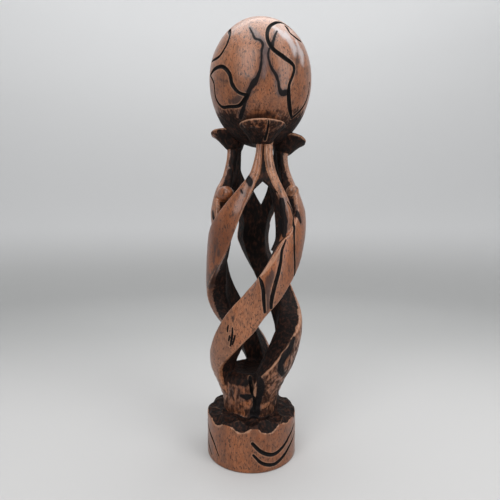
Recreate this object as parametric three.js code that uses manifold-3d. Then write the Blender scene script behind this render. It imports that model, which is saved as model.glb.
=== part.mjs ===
// A carved wooden table ornament: an egg-shaped globe held up by three cupped hands, whose arms twist
// into an open cage of three strands on a round, rough-topped base. It is cut from one block of wood,
// so it is one solid. Millimetres and degrees, +Z up, the front towards -Y.
// Azimuth 0 is the front, +90 the right-hand side (+X).

import * as THREE from "three";
import { mergeVertices } from "three/addons/utils/BufferGeometryUtils.js";
import Module from "manifold-3d";

const wasm = await Module();
wasm.setup();

// Base: a round block whose upper edge is scooped out all round
const BASE_RADIUS = 36.7;
const BASE_FOOT_EDGE = 0.8;
const BASE_SIDES = 40;
const BASE_SIDE_TOP = 34;
const BASE_CROWN = 37.8;
const BASE_CROWN_RADIUS = 33;
const SCOOPS_AT = [-75, -43, -14, 18, 44, 72, 101, 131, 162, 192, 222, 252];
const SCOOP_RADIUS = 10;
const SCOOP_REACH = 41.5;
const SCOOP_Z = 41;
const INNER_SCOOP_TURN = 15;
const INNER_SCOOP_RADIUS = 8.3;
const INNER_SCOOP_REACH = 31;
const INNER_SCOOP_Z = 43.2;

// Globe: an egg with its blunt end up
const GLOBE_RADIUS = 40.7;
const GLOBE_CENTRE_Z = 303.8;
const GLOBE_UP = 46.2;
const GLOBE_DOWN = 52.5;
const GLOBE_SIDES = 32;
const GLOBE_RINGS = 16;

// The block leans a little to the right: sideways offset of the carving's middle at each height.
const LEAN = [
  [0, 0], [60, 0.2], [100, 1.6], [150, 3.2], [190, 4.3], [236, 4.4], [262, 5.6], [302, 7.1], [350, 7.1],
];

// The cage's outer radius and the strands' depth towards the axis at each height.
const CAGE_RADIUS = [
  [36, 23], [46, 24], [58, 28.2], [66, 32], [76, 36], [92, 39.2], [110, 40.6], [150, 40.4], [183, 40.6],
  [197, 39.8], [207, 37.2], [215, 34.3], [223, 31], [231, 28.4], [245, 26.6], [258, 27],
];
const STRAND_DEPTH = [
  [36, 15], [66, 17], [84, 20], [104, 20.5], [130, 17], [150, 16], [190, 16], [207, 15], [222, 11],
  [236, 8.2], [258, 8.5],
];

// Each strand's two edges: height, azimuth of its left edge, azimuth of its right edge.
const STRANDS = {
  front: [
    [256, -3, 8.5], [244, -3, 8], [236, -6, 6.7], [227, -12, 4], [218.5, -22.5, -3.5], [209, -35, -9.6],
    [196, -53, -17.3], [184, -74, -24], [170, -94, -33], [158, -108, -45], [142, -127, -70],
    [126, -148, -95], [109, -171, -119], [92, -191, -142], [76, -210, -161], [60, -226, -176],
    [36, -236, -184],
  ],
  right: [
    [256, 101, 115], [244, 100, 114], [236, 97, 113.5], [227, 88, 111], [218.5, 76, 108], [209, 62, 106],
    [196, 54, 101], [184, 42, 92], [175, 27, 80], [166, 17.5, 70], [157, 9.5, 60], [150, 2.5, 52],
    [142, -7, 41.5], [131.5, -20, 28.5], [121, -34, 13], [109, -46, 0], [98, -57, -15], [87, -68, -31],
    [76, -77, -47.5], [64, -84, -56], [50, -90, -60], [36, -96, -62],
  ],
  left: [
    [256, -135, -122], [244, -136, -122], [236, -139, -123], [227, -152, -127], [217, -175, -136],
    [207, -188, -146], [199, -197, -151], [190, -200, -155.5], [179, -198, -153.5], [167, -200, -160],
    [154, -213, -171], [142, -229, -183], [126, -250, -202], [109, -288, -230], [98, -311, -250],
    [87, -327, -268], [76, -343, -284], [66, -356, -294], [50, -358, -298], [36, -358, -300],
  ],
};

// How far a strand's side edges draw in towards its back: height, at its left side, at its right side
const UNDERCUTS = {
  front: [[141, 0, 0], [150, 0, 5.5], [158, 0, 9.5], [180, 0, 10.5], [195, 0, 7.5], [212, 0, 0]],
  right: [[130, 0, 0], [145, 4.5, 0], [180, 4.5, 0], [190, 0, 0]],
};

// The second arm of each hand, which leans the other way and grows into the neighbouring strand.
const ARMS = {
  front: [
    [256, 11, 26], [249, 11.2, 27.7], [237, 13.5, 28.8], [229, 16, 32], [219, 22, 36.5], [209, 29, 42.5],
    [201, 31, 46.6], [190, 33, 53], [180, 34, 58], [168, 24, 56],
  ],
  right: [
    [256, 117, 131], [240, 120, 138], [227, 128, 148], [217, 135, 157], [207, 144, 169],
    [199, 153, 178], [190, 159, 186], [180, 163, 192], [168, 163, 190],
  ],
  left: [
    [256, -119, -106], [240, -120, -102], [226, -114, -92], [212, -98, -70], [200, -88, -60], [186, -82, -58],
    [168, -84, -62],
  ],
};

// The wood left between the two arms of a hand, set back from their faces
const WEB_RECESS = 3;
const WEBS = {
  front: [[256, 2, 18], [236, 1, 20], [221, -1, 22]],
  right: [[256, 108, 124], [236, 108, 124], [224, 107, 131]],
  left: [[256, -128, -112], [236, -128, -112], [222, -140, -104]],
};

// Hands: azimuth, height of the rim, and how far its outer edge droops
const HANDS = { front: [5, 263.4, 0], right: [116, 261.5, 3], left: [-117, 266, 0] };

// Rings of a hand, from the wrist up to the lip:
// height below the rim, distance from the axis, half width across, half depth outwards.
const HAND_RINGS = [
  [14.6, 22.3, 7.2, 6.4], [12, 23.2, 8.8, 8], [8, 24.8, 11.8, 10.8], [4.6, 26.4, 14.8, 13.2],
  [3.2, 27, 16.8, 15], [1, 27, 17.2, 15.6], [0, 27, 16.4, 14.6],
];
const HAND_HOLLOW = 3;
const HAND_SIDES = 16;

// The stub in which the strands meet above the base
const STUB = [[30, 22.5], [40, 22.5], [54, 23], [63, 24.2], [67, 23.6], [70, 19], [71, 10]];
const STUB_SIDES = 20;

// Incised lines: the azimuth and height of points along each
const LINE_WIDTH = 2.2;
const LINE_DEPTH = 1.3;
const LINE_END = 0.35;
const LINE_STEP = 5;
const LINE_FEWEST_STEPS = 3;
const GLOBE_LINES = [
  [[49, 335], [38, 337.5], [21, 335.5], [9, 329], [6, 320], [11, 312], [23, 306.5], [35, 302], [34, 295],
    [31.5, 290], [34, 281], [41, 274], [51, 269]],
  [[68, 297], [70, 289], [67, 281], [60, 274], [51, 269]],
  [[37, 334], [38, 328], [45, 326], [58, 326]],
  [[-74, 304], [-60, 305], [-43, 303], [-35, 297], [-32, 289], [-24, 283], [-15, 281]],
  [[-74, 304], [-63, 296], [-64, 284], [-57, 278], [-42, 276], [-26, 275.5], [-15, 281]],
  [[-50, 334], [-41, 327], [-41, 320], [-49, 313], [-72, 314]],
  [[111, 318], [122, 324], [140, 322], [152, 313], [148, 302], [132, 298], [118, 303], [109, 314],
    [114, 321]],
  [[-160, 330], [-172, 322], [-168, 310], [-150, 304], [-142, 294], [-152, 282], [-172, 278]],
];
const BASE_LINES = [
  [[1, 23.5], [12, 16.5], [27, 12.8], [40, 15.2], [54, 21], [70, 27]],
  [[2, 14.5], [13, 7.6], [28, 4.9], [43, 8.2], [58, 14], [74, 19]],
  [[-92, 29], [-72, 23.5], [-56, 17], [-44, 7.5]],
  [[-100, 24], [-84, 16.5], [-70, 9], [-60, 4]],
  [[160, 25], [178, 13], [200, 11], [222, 21]],
  [[164, 16], [180, 5.5], [202, 4.5], [220, 12]],
];

// Where the strands, arms and webs start and end, and the shape of their cross section
const LIMB_BOTTOM = 36;
const LIMB_TOP = 254.6;
const ARM_BOTTOM = 168.5;
const ARM_TOP = 253.6;
const WEB_TOP = 252.4;
const LEVEL_STEP = 7.5;
const SECTION_SIDES = 12;
const SQUARENESS = 0.6;

// Vertices closer than this are one.
const MERGE_DISTANCE = 0.001;

const rad = THREE.MathUtils.degToRad;
const deg = THREE.MathUtils.radToDeg;

// A smooth curve through rows of [height, value, ...]: returns the chosen column at any height.
function through(rows, column = 1) {
  const r = [...rows].sort((a, b) => a[0] - b[0]);
  const slope = (i, j) => (r[j][column] - r[i][column]) / (r[j][0] - r[i][0]);
  const tangent = r.map((_, i) => {
    if (i === 0 || i === r.length - 1) return i ? slope(i - 1, i) : slope(0, 1);
    const before = slope(i - 1, i);
    const after = slope(i, i + 1);
    return before * after <= 0 ? 0 : (2 * before * after) / (before + after);
  });
  return (z) => {
    if (z <= r[0][0]) return r[0][column];
    if (z >= r[r.length - 1][0]) return r[r.length - 1][column];
    const i = r.findIndex((row) => row[0] > z) - 1;
    const h = r[i + 1][0] - r[i][0];
    const t = (z - r[i][0]) / h;
    const u = 1 - t;
    return r[i][column] * (1 + 2 * t) * u * u + r[i + 1][column] * (3 - 2 * t) * t * t
      + h * (tangent[i] * t * u * u - tangent[i + 1] * t * t * u);
  };
}

const lean = through(LEAN);
const cageRadius = through(CAGE_RADIUS);
const strandDepth = through(STRAND_DEPTH);

function place(radius, azimuth, z) {
  return new THREE.Vector3(lean(z) + radius * Math.sin(rad(azimuth)), -radius * Math.cos(rad(azimuth)), z);
}

// A closed body through a stack of rings, each the same number of points, with a flat cap at both ends.
function loft(rings, topDip = 0) {
  const sides = rings[0].length;
  const positions = rings.flat().flatMap((p) => [p.x, p.y, p.z]);
  const index = [];
  for (let i = 0; i + 1 < rings.length; i++) {
    for (let j = 0; j < sides; j++) {
      const a = i * sides + j;
      const b = i * sides + ((j + 1) % sides);
      index.push(a, b, a + sides, b, b + sides, a + sides);
    }
  }
  for (const [ring, top] of [[0, false], [rings.length - 1, true]]) {
    const middle = rings[ring].reduce((sum, p) => sum.add(p), new THREE.Vector3()).divideScalar(sides);
    const centre = positions.length / 3;
    positions.push(middle.x, middle.y, middle.z + (top ? topDip : 0));
    for (let j = 0; j < sides; j++) {
      const a = ring * sides + j;
      const b = ring * sides + ((j + 1) % sides);
      index.push(...(top ? [a, b, centre] : [b, a, centre]));
    }
  }
  return new THREE.BufferGeometry()
    .setAttribute("position", new THREE.Float32BufferAttribute(positions, 3))
    .setIndex(index);
}

// A horizontal section between two azimuths and two radii, with rounded corners. Its sides may draw in
// towards the back by a left and a right distance.
function sector(z, left, right, inner, outer, undercut = [0, 0]) {
  const power = (v) => Math.sign(v) * Math.abs(v) ** SQUARENESS;
  return Array.from({ length: SECTION_SIDES }, (_, i) => {
    const turn = (2 * Math.PI * (i + 0.5)) / SECTION_SIDES;
    const sideways = power(Math.sin(turn));
    const outwards = power(Math.cos(turn));
    const radius = (inner + outer) / 2 + ((outer - inner) / 2) * outwards;
    const drawnIn = undercut[sideways < 0 ? 0 : 1] * ((1 - outwards) / 2) * sideways;
    const azimuth = (left + right) / 2 + ((right - left) / 2) * sideways - deg(drawnIn / radius);
    return place(radius, azimuth, z);
  });
}

function levels(low, high) {
  const count = Math.round((high - low) / LEVEL_STEP);
  return Array.from({ length: count + 1 }, (_, i) => low + ((high - low) * i) / count);
}

function limb(edges, low, high, recess = 0, undercuts = [[low, 0, 0], [high, 0, 0]]) {
  const left = through(edges, 1);
  const right = through(edges, 2);
  const undercut = [through(undercuts, 1), through(undercuts, 2)];
  return loft(levels(low, high).map((z) => {
    const outer = cageRadius(z);
    return sector(z, left(z), right(z), outer - strandDepth(z), outer - recess, undercut.map((at) => at(z)));
  }));
}

function hand(azimuth, rimZ, droop) {
  const out = new THREE.Vector2(Math.sin(rad(azimuth)), -Math.cos(rad(azimuth)));
  const rings = HAND_RINGS.map(([below, reach, halfWidth, halfDepth]) => {
    return Array.from({ length: HAND_SIDES }, (_, i) => {
      const turn = (2 * Math.PI * i) / HAND_SIDES;
      const outwards = reach + halfDepth * Math.cos(turn);
      const across = halfWidth * Math.sin(turn);
      const x = lean(rimZ) + out.x * outwards - out.y * across;
      const z = rimZ - below - (droop * (outwards - reach)) / halfDepth;
      return new THREE.Vector3(x, out.y * outwards + out.x * across, z);
    });
  });
  return loft(rings, -HAND_HOLLOW);
}

function base() {
  const profile = [
    [0, 0], [BASE_RADIUS - BASE_FOOT_EDGE, 0], [BASE_RADIUS, BASE_FOOT_EDGE], [BASE_RADIUS, BASE_SIDE_TOP],
    [BASE_CROWN_RADIUS, BASE_CROWN], [0, BASE_CROWN],
  ].map(([x, y]) => new THREE.Vector2(x, y));
  return new THREE.LatheGeometry(profile, BASE_SIDES).rotateX(Math.PI / 2);
}

function scoops() {
  return SCOOPS_AT.flatMap((turn) => [
    [SCOOP_RADIUS, SCOOP_REACH, SCOOP_Z, turn],
    [INNER_SCOOP_RADIUS, INNER_SCOOP_REACH, INNER_SCOOP_Z, turn + INNER_SCOOP_TURN],
  ]).map(([radius, reach, z, azimuth]) => {
    const centre = place(reach, azimuth, 0);
    return new THREE.IcosahedronGeometry(radius, 1).rotateZ(rad(azimuth)).translate(centre.x, centre.y, z);
  });
}

function globe() {
  const profile = Array.from({ length: GLOBE_RINGS + 1 }, (_, i) => {
    const turn = -Math.PI / 2 + (Math.PI * i) / GLOBE_RINGS;
    const height = Math.sin(turn) * (turn < 0 ? GLOBE_DOWN : GLOBE_UP);
    return new THREE.Vector2(i % GLOBE_RINGS ? GLOBE_RADIUS * Math.cos(turn) : 0, height);
  });
  const egg = new THREE.LatheGeometry(profile, GLOBE_SIDES).rotateX(Math.PI / 2);
  return egg.translate(lean(GLOBE_CENTRE_Z), 0, GLOBE_CENTRE_Z);
}

// The globe's surface, and the direction straight out of it, at an azimuth and a height.
function onGlobe(azimuth, z) {
  const up = z - GLOBE_CENTRE_Z;
  const half = up < 0 ? GLOBE_DOWN : GLOBE_UP;
  const level = GLOBE_RADIUS * Math.sqrt(1 - (up / half) ** 2);
  const way = new THREE.Vector3(Math.sin(rad(azimuth)), -Math.cos(rad(azimuth)), 0);
  const point = way.clone().multiplyScalar(level).add(new THREE.Vector3(lean(GLOBE_CENTRE_Z), 0, z));
  const out = way.multiplyScalar(level / GLOBE_RADIUS ** 2).add(new THREE.Vector3(0, 0, up / half ** 2));
  return { point, out: out.normalize() };
}

function onBase(azimuth, z) {
  const out = new THREE.Vector3(Math.sin(rad(azimuth)), -Math.cos(rad(azimuth)), 0);
  return { point: out.clone().multiplyScalar(BASE_RADIUS).setZ(z), out };
}

// A sharp-bottomed cutter that follows a line over a surface.
function lineCutter(line, surface) {
  const curve = new THREE.CatmullRomCurve3(line.map(([azimuth, z]) => new THREE.Vector3(azimuth, z, 0)));
  const stops = line.map(([azimuth, z]) => surface(azimuth, z).point);
  const length = stops.slice(1).reduce((sum, stop, i) => sum + stop.distanceTo(stops[i]), 0);
  const count = Math.max(LINE_FEWEST_STEPS, Math.round(length / LINE_STEP));
  const spots = curve.getPoints(count).map((p) => surface(p.x, p.y));
  return loft(spots.map(({ point, out }, i) => {
    const before = spots[Math.max(i - 1, 0)].point;
    const after = spots[Math.min(i + 1, count)].point;
    const across = after.clone().sub(before).cross(out).normalize();
    const end = i === 0 || i === count ? LINE_END : 1;
    const lip = point.clone().addScaledVector(out, LINE_DEPTH);
    const side = (sign) => lip.clone().addScaledVector(across, sign * LINE_WIDTH * end);
    return [side(-1), side(1), point.clone().addScaledVector(out, -LINE_DEPTH * end)];
  }));
}

function stub() {
  const radius = through(STUB);
  return loft(STUB.map(([z]) => {
    return Array.from({ length: STUB_SIDES }, (_, i) => place(radius(z), (360 * i) / STUB_SIDES, z));
  }));
}

function solid(geometry) {
  const bare = geometry.clone();
  bare.deleteAttribute("normal");
  bare.deleteAttribute("uv");
  const merged = mergeVertices(bare, MERGE_DISTANCE);
  const mesh = new wasm.Mesh({
    numProp: 3,
    vertProperties: new Float32Array(merged.attributes.position.array),
    triVerts: new Uint32Array(merged.index.array),
  });
  const made = new wasm.Manifold(mesh);
  if (made.volume() < 0) throw new Error("a body is inside out");
  return made;
}

function geometryOf(manifold) {
  const mesh = manifold.getMesh();
  const positions = new Float32Array(mesh.numVert * 3);
  for (let i = 0; i < mesh.numVert; i++) {
    positions.set(mesh.vertProperties.subarray(i * mesh.numProp, i * mesh.numProp + 3), i * 3);
  }
  const geometry = new THREE.BufferGeometry()
    .setAttribute("position", new THREE.BufferAttribute(positions, 3))
    .setIndex(new THREE.BufferAttribute(mesh.triVerts, 1));
  geometry.computeVertexNormals();
  return geometry;
}

const bodies = [stub(), globe()];
for (const [name, edges] of Object.entries(STRANDS)) {
  bodies.push(limb(edges, LIMB_BOTTOM, LIMB_TOP, 0, UNDERCUTS[name]));
}
for (const edges of Object.values(ARMS)) bodies.push(limb(edges, ARM_BOTTOM, ARM_TOP));
for (const edges of Object.values(WEBS)) {
  const [lowest] = edges.at(-1);
  bodies.push(limb(edges, lowest, WEB_TOP, WEB_RECESS));
}
for (const [azimuth, rimZ, droop] of Object.values(HANDS)) bodies.push(hand(azimuth, rimZ, droop));

let carved = solid(base());
for (const scoop of scoops()) carved = carved.subtract(solid(scoop));
for (const body of bodies) carved = carved.add(solid(body));
for (const line of GLOBE_LINES) carved = carved.subtract(solid(lineCutter(line, onGlobe)));
for (const line of BASE_LINES) carved = carved.subtract(solid(lineCutter(line, onBase)));

const finish = new THREE.MeshStandardMaterial({ color: 0x8a5a3c, roughness: 0.45, metalness: 0 });
const carving = new THREE.Mesh(geometryOf(carved), finish);
carving.name = "carving";

const part = new THREE.Group();
part.add(carving);
export default part;
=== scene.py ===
# The looks of a carved wooden ornament: an egg-shaped globe held up by three cupped hands, on arms that twist
# into an open cage over a round base. One finely carved mesh takes the place of the faceted solid.
# The carving is worked out in millimetres and scaled to metres at the end. Azimuth 0 is the front (-Y), +90 is +X.

import math
import bmesh
import bpy
import numpy as np
from mathutils import Matrix, Vector, kdtree


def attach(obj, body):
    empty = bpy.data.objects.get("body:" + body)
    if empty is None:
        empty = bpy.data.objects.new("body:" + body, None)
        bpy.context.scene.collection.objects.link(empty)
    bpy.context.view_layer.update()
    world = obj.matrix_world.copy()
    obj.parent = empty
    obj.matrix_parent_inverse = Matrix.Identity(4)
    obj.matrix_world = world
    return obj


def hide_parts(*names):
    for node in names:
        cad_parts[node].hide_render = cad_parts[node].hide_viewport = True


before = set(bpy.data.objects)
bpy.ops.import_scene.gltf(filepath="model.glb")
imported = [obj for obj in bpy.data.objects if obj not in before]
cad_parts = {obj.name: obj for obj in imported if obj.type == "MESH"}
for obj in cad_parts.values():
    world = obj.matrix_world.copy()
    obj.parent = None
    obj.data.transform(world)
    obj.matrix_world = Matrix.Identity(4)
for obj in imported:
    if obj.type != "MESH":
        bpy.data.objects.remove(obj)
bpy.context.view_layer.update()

MM = 0.001
DEG = math.pi / 180


# Camera: at the photograph's height, distance and slight downward tilt
CAMERA_DISTANCE = 321.5
CAMERA_HEIGHT = 186
CAMERA_OFFSET = -1.15
CAMERA_TILT = 3.28
FOCAL_PIXELS = 390
IMAGE_PIXELS = 500
SENSOR = 36


def add_camera():
    data = bpy.data.cameras.new("camera")
    data.sensor_width = SENSOR
    data.lens = SENSOR * FOCAL_PIXELS / IMAGE_PIXELS
    data.clip_start = 0.01
    camera = bpy.data.objects.new("camera", data)
    camera.location = Vector((CAMERA_OFFSET, -CAMERA_DISTANCE, CAMERA_HEIGHT)) * MM
    camera.rotation_euler = ((90 - CAMERA_TILT) * DEG, 0, 0)
    bpy.context.scene.collection.objects.link(camera)
    bpy.context.scene.camera = camera


add_camera()


# Main sizes, as in the solid

BASE_RADIUS = 36.7
BASE_SIDE_TOP = 34
BASE_CROWN = 37.8
BASE_CROWN_RADIUS = 33
# Gouge cuts that bite the base's upper edge: azimuth and radius
EDGE_SCOOPS = [
    (-79, 9.6), (-50, 10.8), (-13, 11.4), (21.5, 11.2), (49, 9.2), (74, 10.4), (101, 9.6), (131, 11), (162, 9.8),
    (190, 10.8), (222, 10), (252, 11),
]

GLOBE_RADIUS = 40.7
GLOBE_CENTRE_Z = 303.8
GLOBE_UP = 46.2
GLOBE_DOWN = 52.5

LEAN = [(0, 0), (60, 0.2), (100, 1.6), (150, 3.2), (190, 4.3), (236, 4.4), (262, 5.6), (302, 7.1), (350, 7.1)]
CAGE_RADIUS = [
    (36, 23), (46, 24), (58, 28.2), (66, 32), (76, 36), (92, 39.2), (110, 40.6), (150, 40.4), (183, 40.6),
    (197, 39.8), (207, 37.2), (215, 34.3), (223, 31), (231, 28.4), (245, 26.6), (258, 27),
]
STRAND_DEPTH = [
    (36, 15), (66, 17), (84, 20), (104, 20.5), (130, 17), (150, 16), (190, 16), (207, 15), (222, 11), (236, 8.2),
    (258, 8.5),
]

# Each strand's two edges: height, azimuth of its left edge, azimuth of its right edge
STRANDS = {
    "front": [
        (256, -3, 8.5), (244, -3, 8), (236, -6, 6.7), (227, -12, 4), (218.5, -22.5, -3.5), (209, -35, -9.6),
        (196, -53, -17.3), (184, -74, -24), (170, -94, -33), (158, -108, -45), (142, -127, -70),
        (126, -148, -95), (109, -171, -119), (92, -191, -142), (76, -210, -161), (60, -226, -176), (36, -236, -184),
    ],
    "right": [
        (256, 101, 115), (244, 100, 114), (236, 97, 113.5), (227, 88, 111), (218.5, 76, 108), (209, 62, 106),
        (196, 54, 101), (184, 42, 92), (175, 27, 80), (166, 17.5, 70), (157, 9.5, 60), (150, 2.5, 52), (142, -7, 41.5),
        (131.5, -20, 28.5), (121, -34, 13), (109, -46, 0), (98, -57, -15), (87, -68, -31), (76, -77, -47.5),
        (64, -84, -56), (50, -90, -60), (36, -96, -62),
    ],
    "left": [
        (256, -135, -122), (244, -136, -122), (236, -139, -123), (227, -152, -127), (217, -175, -136),
        (207, -188, -146), (199, -197, -151), (190, -200, -155.5), (179, -198, -153.5), (167, -200, -160),
        (154, -213, -171), (142, -229, -183), (126, -250, -202), (109, -288, -230), (98, -311, -250),
        (87, -327, -268), (76, -343, -284), (66, -356, -294), (50, -358, -298), (36, -358, -300),
    ],
}
ARMS = {
    "front": [
        (256, 11, 26), (249, 11.2, 27.7), (237, 13.5, 28.8), (229, 16, 32), (219, 22, 36.5), (209, 29, 42.5),
        (201, 31, 46.6), (190, 33, 53), (180, 34, 58), (168, 24, 56),
    ],
    "right": [
        (256, 117, 131), (240, 120, 138), (227, 128, 148), (217, 135, 157), (207, 144, 169), (199, 153, 178),
        (190, 159, 186), (180, 163, 192), (168, 163, 190),
    ],
    "left": [
        (256, -119, -106), (240, -120, -102), (226, -114, -92), (212, -98, -70), (200, -88, -60), (186, -82, -58),
        (168, -84, -62),
    ],
}
# How much each strand's sides lean in towards its back: height, its left side, its right side
UNDERCUTS = {
    "front": [(141, 0, 0), (150, 0, 0.3), (158, 0, 0.5), (180, 0, 0.55), (195, 0, 0.4), (212, 0, 0)],
    "right": [(130, 0, 0), (145, 0.25, 0), (180, 0.25, 0), (190, 0, 0)],
    "left": [(0, 0, 0)],
}
LIMB_BOTTOM = 36
LIMB_TOP = 254.6
ARM_BOTTOM = 168.5
# An arm sinks below its neighbour's face as it grows into it.
ARM_SINK = [(168, 5), (185, 3.2), (205, 1.2), (222, 0), (256, 0)]

# The wood left between a hand's two arms arches up between them: azimuth of its middle, height of the arch's top
WEBS = {"front": (9.5, 221), "right": (118, 225), "left": (-121, 222)}
WEB_RECESS = 3
WEB_THICKNESS = 6
WEB_TOP = 252.4
WEB_TOP_HALF = 8 * DEG
WEB_SPREAD = 0.35 * DEG
WEB_ARCH = 0.9

# Hands: azimuth, height of the rim, droop of the outer edge
HANDS = {"front": (5, 263.4, 0), "right": (116, 261.5, 3), "left": (-117, 266, 0)}
# Rings of a hand: height below the rim, distance from the axis, half width across, half depth outwards
HAND_RINGS = [
    (14.6, 22.3, 7.2, 6.4), (12, 23.2, 8.8, 8), (8, 24.8, 11.8, 10.8), (4.6, 26.4, 14.8, 13.2),
    (3.2, 27, 16.6, 15), (1, 27, 17.2, 15.6), (0, 27, 16.4, 14.6),
]

# Knobs where a hand's arm meets the strand: azimuth, height, distance from the axis, half width, depth and height
KNOBS = [(-61, 212.5, 28.5, 9, 6, 6), (71, 215, 30, 5, 5, 5)]

STUB = [(30, 22.5), (40, 22.5), (54, 23), (63, 24.2), (67, 23.6), (71, 19.6)]
STUB_TOP = 70


# Marks: each row is azimuth, height and half width of the mark there

GLOBE_LINES = [
    [(49, 335, 0.9), (38, 337.5, 1.2), (21, 335.5, 1.5), (9, 329, 1.3), (6, 320, 1.2), (11, 312, 1.5),
     (23, 306.5, 1.7), (35, 302, 1.3), (34, 295, 1.0), (31.5, 290, 1.0), (34, 281, 1.7), (41, 274, 1.7),
     (51, 269, 0.8)],
    [(68, 297, 0.8), (70, 289, 1), (67, 281, 1), (60, 274, 1), (51, 269, 0.8)],
    [(37, 334, 1.5), (38, 328, 1), (45, 326, 1.2), (58, 326, 0.8)],
    [(-74, 304, 1), (-60, 305, 1.3), (-43, 303, 1.3), (-35, 297, 1.4), (-32, 289, 1.4), (-24, 283, 1), (-15, 281, 1)],
    [(-74, 304, 0.6), (-63, 296, 0.8), (-64, 284, 0.9), (-57, 278, 1.1), (-42, 276, 1.1), (-26, 275.5, 1.2),
     (-15, 281, 1.3)],
    [(-50, 334, 1.7), (-41, 327, 1), (-41, 320, 1), (-49, 313, 1.1), (-72, 314, 0.8)],
    [(111, 318, 1), (122, 324, 1.3), (140, 322, 1.3), (152, 313, 1.3), (148, 302, 1.3), (132, 298, 1.3),
     (118, 303, 1.3), (109, 314, 1.1), (114, 321, 1)],
    [(-160, 330, 1), (-172, 322, 1.3), (-168, 310, 1.3), (-150, 304, 1.3), (-142, 294, 1.3), (-152, 282, 1.2),
     (-172, 278, 0.9)],
]
BASE_LINES = [
    [(1, 23.5, 1.2), (12, 16.5, 1.4), (27, 12.8, 1.4), (40, 15.2, 1.3), (54, 21, 1.1), (70, 27, 0.7)],
    [(2, 14.5, 0.8), (13, 7.6, 1.2), (28, 4.9, 1.3), (43, 8.2, 1.3), (58, 14, 1), (74, 19, 0.6)],
    [(-92, 29, 0.8), (-72, 23.5, 0.9), (-56, 17, 0.9), (-44, 7.5, 0.5)],
    [(-100, 24, 0.8), (-84, 16.5, 0.9), (-70, 9, 0.9), (-60, 4, 0.5)],
    [(160, 25, 1), (178, 13, 1.3), (200, 11, 1.3), (222, 21, 0.8)],
    [(164, 16, 1), (180, 5.5, 1.3), (202, 4.5, 1.3), (220, 12, 0.8)],
]
# Drying cracks and knife cuts on the limbs and the stub
CUTS = [
    [(37.9, 205.1, 0.5), (41.8, 201.7, 0.7), (44.3, 198.5, 0.9), (46.5, 194, 0.9), (46.5, 188.8, 0.9),
     (44.6, 182.7, 0.9), (44.2, 173.7, 0.9), (45.4, 163.9, 1), (47.8, 155.4, 1), (48.8, 149.2, 0.9), (47, 143, 0.6)],
    [(8.7, 261.4, 0.4), (9.2, 258.5, 0.6), (9.7, 254.7, 0.8), (9.3, 250.6, 0.9)],
    [(32.8, 177.2, 0.4), (27.9, 169.8, 0.9), (26.6, 161.8, 1.1), (23.9, 152.5, 1.4), (21.3, 145.6, 1.5),
     (19.4, 140, 1.5), (17.7, 133.5, 1.5), (17.5, 127, 1.1)],
    [(3.5, 149.8, 0.5), (5.5, 146.8, 1.2), (7.7, 141.2, 1.3), (8.7, 133.8, 1.3), (10.5, 124, 0.9)],
    [(-28.6, 113.4, 0.5), (-29.3, 111.4, 0.7), (-29.4, 108.6, 0.5)],
    [(-23.4, 112, 0.5), (-23.6, 106.2, 0.8), (-24.6, 102.2, 0.8), (-26.1, 98, 0.5)],
    [(-26.6, 105.9, 0.5), (-27, 104, 0.7), (-27.8, 101.9, 0.5)],
    [(-20.3, 106.4, 0.5), (-21.8, 102.4, 0.6), (-23.5, 99.3, 0.5)],
    [(-4, 69, 1.2), (-1, 62.7, 1.5), (1.5, 56, 1.6), (5.2, 50, 1.6), (4.7, 43, 1.2)],
]

# Black stain and natural dark streaks, with ragged edges
BLACK = [
    [(-14.5, 329.3, 0.3), (-10.1, 323.7, 0.5), (-6.7, 319.2, 0.7), (-1.9, 318.1, 0.7), (1, 315.1, 0.7),
     (0, 309.9, 0.6), (-0.4, 303, 0.6), (-2.6, 294.9, 0.8), (-4.8, 291.2, 1.4), (-7.4, 288.8, 1.9),
     (-11.5, 285.3, 1.4), (-14.6, 281.4, 1.4), (-17.2, 278.4, 1), (-20.5, 274.6, 1), (-24.6, 270.9, 1.2),
     (-29, 268, 1.5)],
    [(7.7, 312, 0.4), (6.4, 308.2, 0.5), (7.5, 302.5, 0.5), (9.8, 298.4, 0.7), (14.7, 294.1, 1),
     (18.2, 289.3, 0.7), (20.1, 285.7, 0.9), (24.5, 282.8, 1.8), (28.3, 283.5, 1.9), (31.8, 285.2, 1)],
    [(10.1, 313.5, 1.4), (12.5, 318.1, 0.8), (15.6, 323.6, 0.5), (18.4, 326.7, 0.3)],
    [(-13.5, 224, 1), (-12.2, 221.9, 1.9), (-9.6, 219, 1.9), (-9.4, 217, 1)],
    [(-20.7, 213.8, 0.3), (-19.2, 212.4, 0.6), (-17.4, 210.8, 0.3)],
    [(30.4, 206, 2), (31.8, 197.2, 3), (33, 190, 3), (33.9, 183.8, 2.8), (34.5, 180, 1.3)],
    [(54.4, 100.5, 0.9), (51.1, 96.6, 2), (46.2, 91.8, 2.6), (39.1, 87.2, 2.6), (35.7, 82, 2.2), (37.2, 77, 2.2),
     (44.8, 72, 1.8)],
    [(9.6, 70.9, 2.4), (13.2, 65.2, 2.6), (13.3, 57.2, 2.6), (10, 48, 2.6), (6, 40, 4)],
    [(-67.8, 198.7, 0.8), (-66.5, 195.2, 1.4), (-62, 191.1, 0.6)],
    [(51.4, 206, 1), (53, 199, 2), (57, 190, 1)],
    [(-22, 53.8, 0.8), (-11.5, 53.3, 2.1), (-1.5, 54.1, 1.3)],
]
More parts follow.
